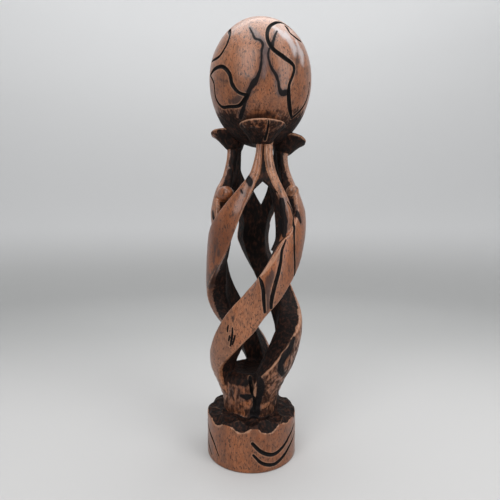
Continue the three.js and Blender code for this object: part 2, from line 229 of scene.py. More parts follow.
# Mottled darkening with soft edges; the row low on the globe's front, above the front palm, is painted shade
SHADE = [
    [(-28.8, 284.9, 1.6), (-23.1, 281.2, 2.3), (-30.6, 278.6, 2.7), (-39.7, 279.9, 1.6)],
    [(-49.7, 295.3, 0.3), (-42.9, 292.7, 0.9), (-36.7, 291.3, 0.6)],
    [(40, 312, 1.2), (40.3, 307.8, 1.7), (39.3, 304.1, 1.9), (39, 297.3, 1.7), (39.3, 292.1, 1)],
    [(-43.1, 172.3, 0.8), (-45.1, 168.4, 1.6), (-47.2, 164.5, 0.9)],
    [(-48, 155.5, 3), (-52, 150, 5), (-60, 144, 6), (-72, 138, 6)],
    [(25.6, 221.8, 0.8), (28.7, 217.4, 1.2), (31, 212.7, 0.9)],
    [(21, 157, 0.8), (16.2, 152, 2.6), (12.9, 145.8, 3.4), (12.5, 138.8, 3.6), (13.5, 130, 3.6), (13, 124, 2)],
    # Painted shade: a dark band low on the globe's front, just above the front palm's lip.
    [(-22, 268, 2), (-10, 267.5, 3), (5, 268, 3), (20, 269, 2)],
    [(-50, 178, 1), (-52, 170, 2), (-55, 160, 2)],
    [(-49, 60.2, 0.7), (-46.2, 57.4, 1.4), (-40.1, 53.8, 0.6)],
    [(-42.2, 58.7, 0.8), (-29.6, 59.2, 1.6), (-20, 59.4, 1.4), (-11.1, 62.5, 0.8)],
    [(-32.6, 66.1, 0.8), (-26.3, 63.7, 1.2), (-16.1, 63.8, 0.8)],
    [(-20.4, 121.6, 0.8), (-22.4, 118.7, 1.2), (-21.5, 117.3, 0.6)],
    [(-18.7, 259.4, 2), (-7.5, 256.7, 4), (0.4, 254.3, 4.6), (5.5, 250.9, 3.1)],
    [(-9.5, 261.2, 1.1), (-2.9, 260.7, 1.1), (0.2, 260.2, 0.6)],
]
# Weathered grey wood
GREY = [
    [(-14.9, 330.5, 1.2), (-6.9, 323.5, 2), (-1.3, 319.1, 2.4), (3.9, 315.2, 2.8), (4.1, 310, 2.8),
     (3.2, 303.7, 2.9), (2.7, 298.2, 2.7), (2.2, 293, 1.2)],
    [(34.9, 207.9, 0.8), (36.8, 207.1, 1.9), (38.2, 206.1, 1.3), (42.5, 203.6, 1), (47, 199, 1), (50, 194, 0.9)],
]
# Painted sheen: a pale bluish highlight painted into the colour of the globe's upper right, where the light falls on
# it
PAINTED_SHEEN = [
    [(14, 331, 1.5), (20, 327.5, 2.2), (25, 325.5, 3), (31, 322, 3.4), (36, 317, 3), (38, 311.7, 1.8)],
    [(44, 322, 2), (48, 314, 2.4), (50, 306, 1.5)],
]
# Worn, paler wood
PALE = [
    [(33.7, 178.6, 0.5), (25.7, 169.8, 0.8), (16.7, 160.6, 1.3), (9.4, 154.6, 1.4), (3.5, 150.4, 0.7)],
    [(106.4, 124, 1.3), (92.3, 117.6, 1.7), (77.8, 111.6, 1.7), (65, 105.8, 1.3)],
    [(59, 103.1, 0.7), (48.4, 97.7, 0.8), (40.9, 92.7, 0.8), (34.6, 88, 0.8), (28.1, 83.2, 0.8), (22.9, 79.5, 0.7),
     (17.9, 76.5, 0.7), (13.7, 73.8, 0.6), (9.2, 71.1, 0.4)],
    [(6, 64.7, 0.4), (4.7, 60.3, 1.2), (4.1, 55.9, 1.5)],
]
# Clean orange wood showing between stains
CLEAN = [
    [(35.9, 204.2, 0.5), (36.4, 200.4, 1.8), (38.5, 195.7, 2.1), (41, 190, 1.6), (42, 183.8, 0.4)],
    [(48.5, 88.4, 0.3), (46.6, 85.6, 1.4), (44.9, 82.8, 2), (43.6, 79.9, 1.2), (43.2, 77.8, 0.4)],
    [(-48.3, 46.3, 2.2), (-39, 45.9, 1.7)],
    [(-20.9, 47.3, 1.3), (-11.6, 47.3, 2.2), (-5.2, 47.7, 1.3)],
    [(20.9, 44.4, 1.3), (28.6, 46, 1.9), (35.4, 47.4, 1.3)],
]


# Small tools

def through(rows, column=1):
    """A smooth curve through rows of (height, value, ...), which never overshoots them."""
    table = np.array(sorted(rows), float)
    x, y = table[:, 0], table[:, column]
    step = np.diff(x)
    slope = np.diff(y) / step
    tangent = np.concatenate([slope[:1], np.zeros(len(slope) - 1), slope[-1:]])
    same = slope[:-1] * slope[1:] > 0
    tangent[1:-1][same] = 2 * slope[:-1][same] * slope[1:][same] / (slope[:-1][same] + slope[1:][same])
    fine = np.arange(x[0], x[-1] + 0.25, 0.25).clip(x[0], x[-1])
    i = np.clip(np.searchsorted(x, fine, side="right") - 1, 0, len(step) - 1)
    t = (fine - x[i]) / step[i]
    u = 1 - t
    value = y[i] * (1 + 2 * t) * u * u + y[i + 1] * (3 - 2 * t) * t * t
    value += step[i] * (tangent[i] * t * u * u - tangent[i + 1] * t * t * u)
    return lambda z: np.interp(z, fine, value)


lean = through(LEAN)
cage_radius = through(CAGE_RADIUS)
strand_depth = through(STRAND_DEPTH)
arm_sink = through(ARM_SINK)


def smooth_min(a, b, soft):
    blend = np.clip(0.5 + 0.5 * (b - a) / soft, 0, 1)
    return b + (a - b) * blend - soft * blend * (1 - blend)


def smooth_max(a, b, soft):
    return -smooth_min(-a, -b, soft)


def rounded(a, b, corner):
    """The distance to a corner made by two faces, rounded by that radius."""
    a = a + corner
    b = b + corner
    return np.hypot(np.maximum(a, 0), np.maximum(b, 0)) + np.minimum(np.maximum(a, b), 0) - corner


def wave_noise(points, size, seed):
    """Gentle, repeatable unevenness between -1 and 1, from a few crossed waves."""
    random = np.random.default_rng(seed)
    total = np.zeros(len(points))
    for _ in range(7):
        way = random.normal(size=3)
        way *= random.uniform(0.6, 1.5) * 2 * math.pi / size / np.linalg.norm(way)
        total += np.sin(points @ way + random.uniform(0, 2 * math.pi))
    return total / 4


class Place:
    """Points of the block, with their height, and their radius and azimuth about the leaning middle."""

    def __init__(self, points):
        self.points = points
        self.z = points[:, 2]
        self.x = points[:, 0] - lean(self.z)
        self.y = points[:, 1]
        self.radius = np.hypot(self.x, self.y)
        self.azimuth = np.degrees(np.arctan2(self.x, -self.y))

    def turn_from(self, azimuth):
        return (self.azimuth - azimuth + 180) % 360 - 180


# The forms

class Limb:
    """A strand or an arm: a band that follows the cage, with a gently rounded face and crisp edges."""
    CROWN = 1.3
    CORNER = 1.3

    def __init__(self, rows, bottom, top, sink=None, undercut=((0, 0, 0),)):
        z = np.arange(bottom - 6, top + 6, 0.5)
        left = through(rows, 1)(z)
        right = through(rows, 2)(z)
        self.bottom = bottom
        self.top = top
        self.heights = z
        self.middle = (left + right) / 2
        self.half = (right - left) / 2
        self.sink = sink
        self.undercut = [np.interp(z, *np.array(sorted(undercut), float)[:, [0, i]].T) for i in (1, 2)]
        run = np.gradient(self.middle, z) * DEG * cage_radius(z)
        self.squeeze = 1 / np.sqrt(1 + run ** 2)

    def measure(self, place):
        """Distance to the limb, distance inwards from its nearer edge, and depth below its face."""
        z = place.z
        turn = place.turn_from(np.interp(z, self.heights, self.middle))
        half = np.interp(z, self.heights, self.half)
        squeeze = np.interp(z, self.heights, self.squeeze)
        reach = np.maximum(place.radius, 6)
        face = cage_radius(z) - self.CROWN * np.clip(turn / half, -1, 1) ** 2
        if self.sink:
            face = face - self.sink(z)
        side = (np.abs(turn) - half) * DEG * reach * squeeze
        cut = np.where(turn < 0, *(np.interp(z, self.heights, part) for part in self.undercut))
        side = (side + cut * np.clip(face - place.radius, 0, 30)) / np.hypot(1, cut)
        inner = cage_radius(z) - strand_depth(z)
        radial = np.maximum(place.radius - face, inner - place.radius)
        distance = rounded(side, radial, self.CORNER)
        distance = np.maximum(distance, np.maximum(z - self.top, self.bottom - z))
        return distance, -side, face - place.radius


LIMBS = [Limb(rows, LIMB_BOTTOM, LIMB_TOP, None, UNDERCUTS[name]) for name, rows in STRANDS.items()]
LIMBS += [Limb(rows, ARM_BOTTOM, LIMB_TOP, arm_sink) for rows in ARMS.values()]


def web_distance(place, azimuth, arch_top):
    turn = np.abs(place.turn_from(azimuth)) * DEG
    outer = cage_radius(place.z) - WEB_RECESS
    radial = np.maximum(place.radius - outer, outer - WEB_THICKNESS - place.radius)
    half = WEB_TOP_HALF + WEB_SPREAD * (WEB_TOP - place.z)
    arch = arch_top - WEB_ARCH * turn * place.radius - place.z
    ends = np.maximum(place.z - WEB_TOP, arch * 0.75)
    return np.maximum(np.maximum((turn - half) * place.radius, radial), ends)


def hand_distance(place, azimuth, rim, droop):
    """A cupped palm that flares up and out from the wrist to a thin lip, with a hollow top."""
    out_x, out_y = math.sin(azimuth * DEG), -math.cos(azimuth * DEG)
    x = place.points[:, 0] - float(lean(rim))
    outwards = x * out_x + place.y * out_y
    across = -x * out_y + place.y * out_x
    rings = np.array(sorted((-below, reach, wide, deep) for below, reach, wide, deep in HAND_RINGS))
    level = place.z - rim + droop * np.clip((outwards - 27) / 15, -1, 1.2)
    reach, wide, deep = (np.interp(level, rings[:, 0], rings[:, i]) for i in (1, 2, 3))
    off = np.hypot((outwards - reach) / deep, across / wide)
    wall = (off - 1) * np.minimum(wide, deep) * 0.72
    hollow = 3.2 * (1 - np.clip(np.hypot((outwards - 27) / 13.4, across / 15), 0, 1) ** 2)
    lid = level + hollow
    return rounded(wall, np.maximum(lid, rings[0, 0] - level), 0.5)


def egg_distance(place):
    x = place.points[:, 0] - float(lean(GLOBE_CENTRE_Z))
    up = place.z - GLOBE_CENTRE_Z
    half = np.where(up > 0, GLOBE_UP, GLOBE_DOWN)
    flat = np.hypot(x, place.y)
    scale = np.hypot(flat / GLOBE_RADIUS, up / half)
    slope = np.hypot(flat / GLOBE_RADIUS ** 2, up / half ** 2)
    return scale * (scale - 1) / np.maximum(slope, 1e-6)


def stub_distance(place):
    z = np.array([row[0] for row in STUB])
    radius = np.array([row[1] for row in STUB])
    dish = 2.5 * (1 - np.clip(place.radius / 18, 0, 1) ** 2)
    ends = np.maximum(place.z - STUB_TOP + dish, STUB[0][0] - place.z)
    return rounded(place.radius - np.interp(place.z, z, radius), ends, 2.5)


def base_scoops():
    """Gouge cuts over the base's upper edge and top: azimuth, reach, height, radius and stretch sideways."""
    random = np.random.default_rng(12)
    cuts = []
    for turn, radius in EDGE_SCOOPS:
        cuts.append((turn, 41.5 + random.uniform(-0.4, 0.4), 41 + random.uniform(-0.4, 0.4), radius, 1.1))
        cuts.append((turn + 15 + random.uniform(-4, 4), 31.5, 43.5, 8.3, 1.2))
        cuts.append((turn + random.uniform(-6, 6), 25, 44, 8, 1.2))
    return cuts


SCOOPS = base_scoops()


def block_distance(place):
    """The base before it is gouged."""
    x, y, z = place.points.T
    radius = np.hypot(x, y)
    chamfer = (BASE_RADIUS - BASE_CROWN_RADIUS, BASE_CROWN - BASE_SIDE_TOP)
    slope = ((radius - BASE_RADIUS) * chamfer[1] + (z - BASE_SIDE_TOP) * chamfer[0]) / math.hypot(*chamfer)
    top = np.maximum(z - BASE_CROWN, slope)
    return rounded(radius - BASE_RADIUS, np.maximum(-z, top), 0.7)


def scoop_distance(place, with_ridge=False):
    """Distance from the nearest gouge cut, negative inside it, and closeness to the ridge between two cuts."""
    nearest = np.full(len(place.z), 9.0)
    ridge = np.full(len(place.z), 9.0)
    near = place.z > BASE_SIDE_TOP - 12
    for azimuth, reach, height, size, stretch in SCOOPS:
        centre = np.array([reach * math.sin(azimuth * DEG), -reach * math.cos(azimuth * DEG), height])
        off = place.points[near] - centre
        along = off[:, 0] * math.cos(azimuth * DEG) + off[:, 1] * math.sin(azimuth * DEG)
        squared = (off ** 2).sum(1) + along ** 2 * (1 / stretch ** 2 - 1)
        distance = np.sqrt(squared) - size
        ridge[near] = np.where(distance < nearest[near], nearest[near] - distance,
                               np.minimum(ridge[near], distance - nearest[near]))
        nearest[near] = smooth_min(nearest[near], distance, 0.5)
    return (nearest, ridge) if with_ridge else nearest


def base_distance(place):
    return smooth_max(block_distance(place), -scoop_distance(place), 0.5)


def knob_distance(place, azimuth, height, reach, *sizes):
    turn = place.turn_from(azimuth) * DEG
    off = np.stack([place.radius * np.sin(turn), place.radius * np.cos(turn) - reach, place.z - height]) \
        / np.array(sizes)[:, None]
    return (np.sqrt((off ** 2).sum(0)) - 1) * min(sizes)


def carving_distance(points):
    """Distance from each point to the carving's surface, negative inside the wood."""
    place = Place(points)
    low, high = place.z.min(), place.z.max()
    distance = np.full(len(points), 50.0)
    for limb in LIMBS:
        if low < limb.top + 6 and high > limb.bottom - 6:
            distance = smooth_min(distance, limb.measure(place)[0], 0.9)
    if high > 212:
        for azimuth, arch_top in WEBS.values():
            distance = smooth_min(distance, web_distance(place, azimuth, arch_top), 1.2)
    if low < 230 and high > 200:
        for knob in KNOBS:
            distance = smooth_min(distance, knob_distance(place, *knob), 1.5)
    if high > 236:
        hands = np.full(len(points), 50.0)
        for azimuth, rim, droop in HANDS.values():
            hands = np.minimum(hands, hand_distance(place, azimuth, rim, droop))
        distance = smooth_min(distance, hands, 1.2)
        distance = smooth_min(distance, egg_distance(place), 0.8)
    if low < 76:
        distance = smooth_min(distance, stub_distance(place), 2.2)
    if low < 44:
        distance = smooth_min(distance, base_distance(place), 0.9)
    return distance


# Turning the forms into a mesh

VOXEL = 0.6
COARSE = 4
MARGIN = 3


def sampled_grid():
    """The distance on a fine grid, worked out only near the surface."""
    low = np.array([-44, -46, -0.3]) - MARGIN
    high = np.array([50, 46, 350.4]) + MARGIN
    counts = np.ceil((high - low) / VOXEL / COARSE).astype(int)
    axes = [low[i] + (np.arange(counts[i]) + 0.5) * VOXEL * COARSE for i in range(3)]
    centres = np.stack(np.meshgrid(*axes, indexing="ij"), -1).reshape(-1, 3)
    coarse = np.concatenate([carving_distance(part) for part in np.array_split(centres, 40)])
    grid = np.where(coarse > 0, 1.0, -1.0).astype(np.float32).reshape(counts)
    for axis in range(3):
        grid = np.repeat(grid, COARSE, axis)
    near = np.nonzero(np.abs(coarse) < VOXEL * COARSE * 1.6)[0]
    near = near[np.argsort(centres[near, 2], kind="stable")]
    offsets = np.stack(np.meshgrid(*[np.arange(COARSE)] * 3, indexing="ij"), -1).reshape(-1, 3)
    blocks = np.stack(np.unravel_index(near, counts), -1) * COARSE
    start = low + VOXEL / 2
    for part in np.array_split(blocks, max(1, len(blocks) // 4000)):
        cells = (part[:, None, :] + offsets[None]).reshape(-1, 3)
        grid[tuple(cells.T)] = carving_distance(start + cells * VOXEL)
    return grid, start


def surface_net(grid, start):
    """One vertex in each grid cell that the surface crosses, and a quad round each grid edge that it crosses."""
    inside = grid < 0
    corners = [(i, j, k) for i in (0, 1) for j in (0, 1) for k in (0, 1)]
    shape = tuple(n - 1 for n in grid.shape)
    window = lambda c: tuple(slice(c[i], c[i] + shape[i]) for i in range(3))
    count = sum(inside[window(c)].astype(np.int8) for c in corners)
    cells = np.stack(np.nonzero((count > 0) & (count < 8)), -1)
    total = np.zeros((len(cells), 3))
    crossings = np.zeros(len(cells))
    for a in corners:
        for axis in range(3):
            if a[axis]:
                continue
            b = tuple(1 if i == axis else a[i] for i in range(3))
            first = grid[tuple((cells + a).T)]
            second = grid[tuple((cells + b).T)]
            crossed = (first < 0) != (second < 0)
            share = first[crossed] / (first[crossed] - second[crossed])
            spot = np.tile(np.array(a, float), (crossed.sum(), 1))
            spot[:, axis] = share
            total[crossed] += spot
            crossings[crossed] += 1
    vertices = start + (cells + total / crossings[:, None]) * VOXEL
    index = np.full(shape, -1, np.int32)
    index[tuple(cells.T)] = np.arange(len(cells))
    quads = []
    for axis in range(3):
        others = [i for i in range(3) if i != axis]
        ahead = [slice(1, -1)] * 3
        ahead[axis] = slice(0, -1)
        after = list(ahead)
        after[axis] = slice(1, None)
        crossed = inside[tuple(ahead)] != inside[tuple(after)]
        edges = np.stack(np.nonzero(crossed), -1)
        offset = np.ones(3, int)
        offset[axis] = 0
        edges = edges + offset
        step = [np.eye(3, dtype=int)[i] for i in others]
        ring = [edges - step[0] - step[1], edges - step[1], edges, edges - step[0]]
        quad = np.stack([index[tuple(c.T)] for c in ring], -1)
        outward = inside[tuple(edges.T)]
        if axis == 1:
            outward = ~outward
        quad[~outward] = quad[~outward][:, ::-1]
        quads.append(quad)
    return vertices, np.concatenate(quads)


def mesh_from(name, vertices, faces):
    mesh = bpy.data.meshes.new(name)
    mesh.vertices.add(len(vertices))
    mesh.vertices.foreach_set("co", np.asarray(vertices, np.float32).ravel())
    mesh.loops.add(faces.size)
    mesh.loops.foreach_set("vertex_index", faces.astype(np.int32).ravel())
    mesh.polygons.add(len(faces))
    mesh.polygons.foreach_set("loop_start", np.arange(0, faces.size, faces.shape[1], dtype=np.int32))
    mesh.update(calc_edges=True)
    mesh.validate()
    return mesh


def places_of(mesh):
    spots = np.zeros(len(mesh.vertices) * 3, np.float32)
    mesh.vertices.foreach_get("co", spots)
    return spots.reshape(-1, 3).astype(float)


def normals_of(mesh):
    ways = np.zeros(len(mesh.vertices) * 3, np.float32)
    mesh.vertex_normals.foreach_get("vector", ways)
    return ways.reshape(-1, 3).astype(float)


# Marks on the surface

def on_surface(azimuth, height):
    """Where a level line from outside first meets the wood, at each azimuth and height."""
    reach = np.arange(48, 12, -0.8)
    turn = azimuth * DEG
    x = lean(height)[:, None] + np.sin(turn)[:, None] * reach
    y = -np.cos(turn)[:, None] * reach
    points = np.stack([x, y, np.broadcast_to(height[:, None], x.shape)], -1)
    distance = carving_distance(points.reshape(-1, 3)).reshape(x.shape)
    hit = np.maximum(np.argmax(distance < 0, axis=1), 1)
    row = np.arange(len(height))
    before = distance[row, hit - 1]
    share = (before / (before - distance[row, hit]))[:, None]
    return points[row, hit - 1] * (1 - share) + points[row, hit] * share


def smooth_path(rows, step=0.4):
    """Closely spaced rows along a smooth curve through the given ones."""
    table = np.array(rows, float)
    run = np.concatenate([[0], np.cumsum(np.linalg.norm(np.diff(table[:, :2] * (0.6, 1), axis=0), axis=1))])
    tangent = np.gradient(table, run, axis=0)
    fine = np.arange(0, run[-1], step)
    i = np.clip(np.searchsorted(run, fine, side="right") - 1, 0, len(run) - 2)
    h = (run[i + 1] - run[i])[:, None]
    t = (fine - run[i])[:, None] / h
    u = 1 - t
    curve = table[i] * (1 + 2 * t) * u * u + table[i + 1] * (3 - 2 * t) * t * t
    return curve + h * (tangent[i] * t * u * u - tangent[i + 1] * t * t * u)


class Marks:
    """A set of marks, and how far any point lies within them."""
    FAR = 8

    def __init__(self, *groups):
        rows = np.concatenate([smooth_path(rows) for group in groups for rows in group])
        self.half = rows[:, 2]
        spots = on_surface(rows[:, 0], rows[:, 1])
        self.low = spots.min(0) - self.FAR
        self.high = spots.max(0) + self.FAR
        self.tree = kdtree.KDTree(len(spots))
        for i, spot in enumerate(spots):
            self.tree.insert(spot, i)
        self.tree.balance()

    def cover(self, points):
        """How far inside the nearest mark each point lies, negative outside."""
        result = np.full(len(points), -float(self.FAR))
        near = np.nonzero(((points > self.low) & (points < self.high)).all(1))[0]
        for i in near:
            _, index, distance = self.tree.find(points[i])
            result[i] = max(self.half[index] - distance, -self.FAR)
        return result


def worley(points, size, seed):
    """Distance to the nearest of some scattered spots, as a share of their spacing."""
    cells = np.floor(points / size).astype(np.int64)
    nearest = np.full(len(points), 9.0)
    for shift in np.ndindex(3, 3, 3):
        cell = cells + np.array(shift) - 1
        key = (cell * (73856093, 19349663, 83492791)).sum(1) + seed * 7919
        spot = cell + np.stack([(key // m) % 1009 / 1009 for m in (1, 13, 157)], -1)
        nearest = np.minimum(nearest, np.linalg.norm(points / size - spot, axis=1))
    return nearest


def ramp(value, low, high):
    """Rises smoothly from 0 to 1 between low and high."""
    t = np.clip((value - low) / (high - low), 0, 1)
    return t * t * (3 - 2 * t)


LINE_SLOPE = 1.1
LINE_DEPTH = 1.4
GOUGE_SIZE = 5.5
GOUGE_DEPTH = 0.9


def relief(points, grooves):
    """How far the surface is cut in at each point: lines, gouge marks and a hand-worked unevenness."""
    depth = np.clip(grooves.cover(points) * LINE_SLOPE, 0, LINE_DEPTH)
    radius = np.hypot(points[:, 0], points[:, 1])
    z = points[:, 2]
    rough = ramp(z, 34, 37) * ramp(z, 80, 66) + 0.35 * ramp(z, 236, 244) * ramp(z, 266, 258) * ramp(radius, 15, 20)
    depth += rough * GOUGE_DEPTH * np.clip(worley(points, GOUGE_SIZE, 3) - 0.45, -0.3, 0.5)
    depth += 0.16 * wave_noise(points, 22, 5) + 0.07 * wave_noise(points, 8, 6)
    return depth * ramp(z, 0.3, 2.5)


# Tone of the bare wood at each height, from 0 orange brown to 1 pale and pinkish: strands, then arms
LIMB_TONES = [
    [(36, 0.5), (90, 0.6), (120, 0.3), (175, 0.1), (205, 0.25), (225, 0.55), (250, 0.45)],
    [(36, 0.5), (80, 0.55), (130, 0.45), (160, 0.2), (190, 0.35), (215, 0.6)],
    [(36, 0.5), (110, 0.6), (160, 0.5), (200, 0.2), (225, 0.3)],
    [(168, 0.3), (190, 0.3), (206, 0.6), (225, 0.9), (250, 0.95)],
    [(168, 0.3), (250, 0.4)],
    [(168, 0.5), (205, 0.6), (250, 0.3)],
]
# Stain over a limb's face at each height, in the same order
LIMB_STAINS = [
    [(36, 0.4), (70, 0.3), (110, 0.1), (140, 0), (250, 0)],
    [(36, 0.55), (50, 0.3), (66, 0.1), (78, 0), (240, 0)],
    [(36, 0.62), (60, 0.56), (90, 0.56), (104, 0.5), (120, 0.4), (150, 0.3), (180, 0.35), (240, 0.6)],
    [(168, 0), (250, 0)],
    [(168, 0.2), (215, 0.3), (235, 0.7), (250, 0.8)],
    [(168, 0), (205, 0.05), (235, 0.2), (250, 0.3)],
]
# Depth below the face at which a limb's sides turn dark
DARK_BELOW = [3.4, 1.6, 1.4, 1.5, 1.2, 1.4]
HAND_STAINS = {"front": 0.62, "right": 0.9, "left": 0.5}


def owners(place):
    """For each point: distance from the nearest pale edge (rubbed edges, and a painted highlight on the ridges between
    the base's gouge cuts), darkness of the stains with painted shade on the lower globe, and paleness of the bare wood
    with a painted sheen on the globe's top.
    """
    count = len(place.z)
    best = np.full(count, 50.0)
    edge = np.full(count, 9.0)
    stain_and_shade = np.zeros(count)
    tone_and_sheen = np.zeros(count)

    def claim(distance, its_edge, its_stain, its_tone):
        mine = distance < best
        best[mine] = distance[mine]
        for whole, part in ((edge, its_edge), (stain_and_shade, its_stain), (tone_and_sheen, its_tone)):
            whole[mine] = np.broadcast_to(part, count)[mine]

    z = place.z
    for limb, tones, stains, dark_below in zip(LIMBS, LIMB_TONES, LIMB_STAINS, DARK_BELOW):
        distance, inside, below = limb.measure(place)
        pale_edge = np.hypot(np.maximum(inside, 0), np.maximum(below, 0))
        dark = np.interp(z, *np.array(stains).T) + 0.9 * ramp(below, dark_below, dark_below + 2.6)
        claim(distance, pale_edge, dark, np.interp(z, *np.array(tones).T))
    for azimuth, arch_top in WEBS.values():
        claim(web_distance(place, azimuth, arch_top), 9, 1.1, 0)
    for name, (azimuth, rim, droop) in HANDS.items():
        distance = hand_distance(place, azimuth, rim, droop)
        pale_edge = np.abs(z - rim + 0.8 + droop * ramp(place.radius, 27, 42))
        claim(distance, pale_edge, HAND_STAINS[name] + 0.6 * ramp(place.radius, 37, 28), 0.3)
    for knob, its_tone in zip(KNOBS, (0.25, 0.8)):
        claim(knob_distance(place, *knob) - 0.6, 9, 0.12, its_tone)
    # Painted shade: the globe is darkened towards its bottom, most where it sits down inside the palms, and more on
    # its lower sides away from the front.
    low_painted_shade = 0.55 * ramp(z, 286, 264) + 0.5 * ramp(z, 262, 252)
    low_painted_shade += 0.4 * ramp(z, 285, 270) * ramp(np.abs(place.turn_from(5)), 25, 60)
    # The globe gets paler towards its top: partly paler wood, partly a painted sheen where the light from above falls
    # on it.
    claim(egg_distance(place), 9, low_painted_shade, 0.35 + 0.2 * ramp(z, 290, 315) + 0.45 * ramp(z, 322, 342))
    stub_dark = 0.5 + 0.7 * ramp(z, 61, 66) + 0.5 * ramp(np.abs(place.turn_from(-25)), 30, 55)
    claim(stub_distance(place), 9, stub_dark, 0.3)
    outside, ridge = scoop_distance(place, True)
    side = (z < BASE_SIDE_TOP + 0.5) & (place.radius > BASE_RADIUS - 0.8) & (outside > 0)
    dark = np.where(side, 0.5 * ramp(outside, 1.4, 0.2), 1.1)
    # On the base top the ridges between gouge cuts get the pale edge colour: a painted highlight where the light
    # catches them.
    claim(base_distance(place), np.where(side, outside, ridge + 0.9), dark, 0.3)
    return edge, stain_and_shade, tone_and_sheen


# Making the carving

TRIANGLES = 190000
KEEP_MARKS = 1.0


def carving_mesh(grooves, stains):
    vertices, quads = surface_net(*sampled_grid())
    mesh = mesh_from("carving_full", vertices, quads)
    points = places_of(mesh) - normals_of(mesh) * relief(places_of(mesh), grooves)[:, None]
    points[:, 2] = np.maximum(points[:, 2], 0)
    mesh.vertices.foreach_set("co", points.astype(np.float32).ravel())
    mesh.update()
    carving = bpy.data.objects.new("carved_wood", mesh)
    bpy.context.scene.collection.objects.link(carving)
    plain = carving.vertex_groups.new(name="plain")
    cover = np.maximum(grooves.cover(points), stains.cover(points))
    plain.add(np.nonzero(cover < -1.2)[0].tolist(), 1.0, "REPLACE")
    decimate = carving.modifiers.new("thin out", "DECIMATE")
    decimate.ratio = TRIANGLES / (2 * len(mesh.polygons))
    decimate.vertex_group = plain.name
    decimate.vertex_group_factor = KEEP_MARKS
    evaluated = carving.evaluated_get(bpy.context.evaluated_depsgraph_get())
    thin = bpy.data.meshes.new_from_object(evaluated)
    thin.name = "carving"
    carving.modifiers.clear()
    carving.data = thin
    bpy.data.meshes.remove(mesh)
    thin.shade_smooth()
    return carving


def add_measures(mesh, grooves):
    """Gives each point the distances and shares that the finish is painted by."""
    points = places_of(mesh)
    edge, stain_and_shade, tone_and_sheen = owners(Place(points))
    measures = {"edge": edge, "stain_and_shade": stain_and_shade, "tone_and_sheen": tone_and_sheen, "groove": grooves.cover(points)}
    for name, group in (("black", BLACK), ("shade", SHADE), ("grey", GREY), ("painted_sheen", PAINTED_SHEEN), ("pale", PALE),
                        ("clean", CLEAN)):
        measures[name] = Marks(group).cover(points)
    for name, values in measures.items():
        layer = mesh.attributes.new(name, "FLOAT", "POINT")
        layer.data.foreach_set("value", values.astype(np.float32))


grooves = Marks(GLOBE_LINES, BASE_LINES, CUTS)
carving = carving_mesh(grooves, Marks(BLACK, PALE))
add_measures(carving.data, grooves)
carving.data.transform(Matrix.Scale(MM, 4))


# Wood

def linear(red, green, blue):
    """A colour given in screen values from 0 to 255, as light."""
    parts = [v / 255 for v in (red, green, blue)]
    return tuple(v / 12.92 if v <= 0.04045 else ((v + 0.055) / 1.055) ** 2.4 for v in parts) + (1,)


class Nodes:
    """Short ways to add the nodes of a material."""

    def __init__(self, material):
        self.tree = material.node_tree

    def add(self, kind, inputs=(), **settings):
        node = self.tree.nodes.new(kind)
        for name, value in settings.items():
            setattr(node, name, value)
        for socket, value in dict(inputs).items():
            if isinstance(value, bpy.types.NodeSocket):
                self.tree.links.new(value, node.inputs[socket])
            else:
                node.inputs[socket].default_value = value
        return node

    def measure(self, name):
        return self.add("ShaderNodeAttribute", attribute_name=name).outputs["Fac"]

    def math(self, operation, a, b=0.0):
        return self.add("ShaderNodeMath", {0: a, 1: b}, operation=operation).outputs[0]

    def ramp(self, value, low, high, top=1.0):
        inputs = {"Value": value, "From Min": low, "From Max": high, "To Max": top}
        return self.add("ShaderNodeMapRange", inputs, interpolation_type="SMOOTHSTEP").outputs["Result"]

    def noise(self, size, stretch=1.0, detail=2.0, seed=0.0):
        """Noise between about 0 and 1 of that size in millimetres, drawn out upwards by the stretch."""
        place = self.add("ShaderNodeTexCoord").outputs["Object"]
        scale = 1 / (size * MM)
        inputs = {"Vector": place, "Scale": (scale, scale, scale / stretch), "Location": (seed, seed, seed)}
        moved = self.add("ShaderNodeMapping", inputs).outputs[0]
        return self.add("ShaderNodeTexNoise", {"Vector": moved, "Scale": 1.0, "Detail": detail}).outputs[0]

    def mix(self, share, a, b):
        node = self.add("ShaderNodeMix", {0: share, 6: a, 7: b}, data_type="RGBA")
        return node.outputs[2]

    def blend(self, share, a, b):
        return self.add("ShaderNodeMix", {0: share, 2: a, 3: b}, data_type="FLOAT").outputs[0]


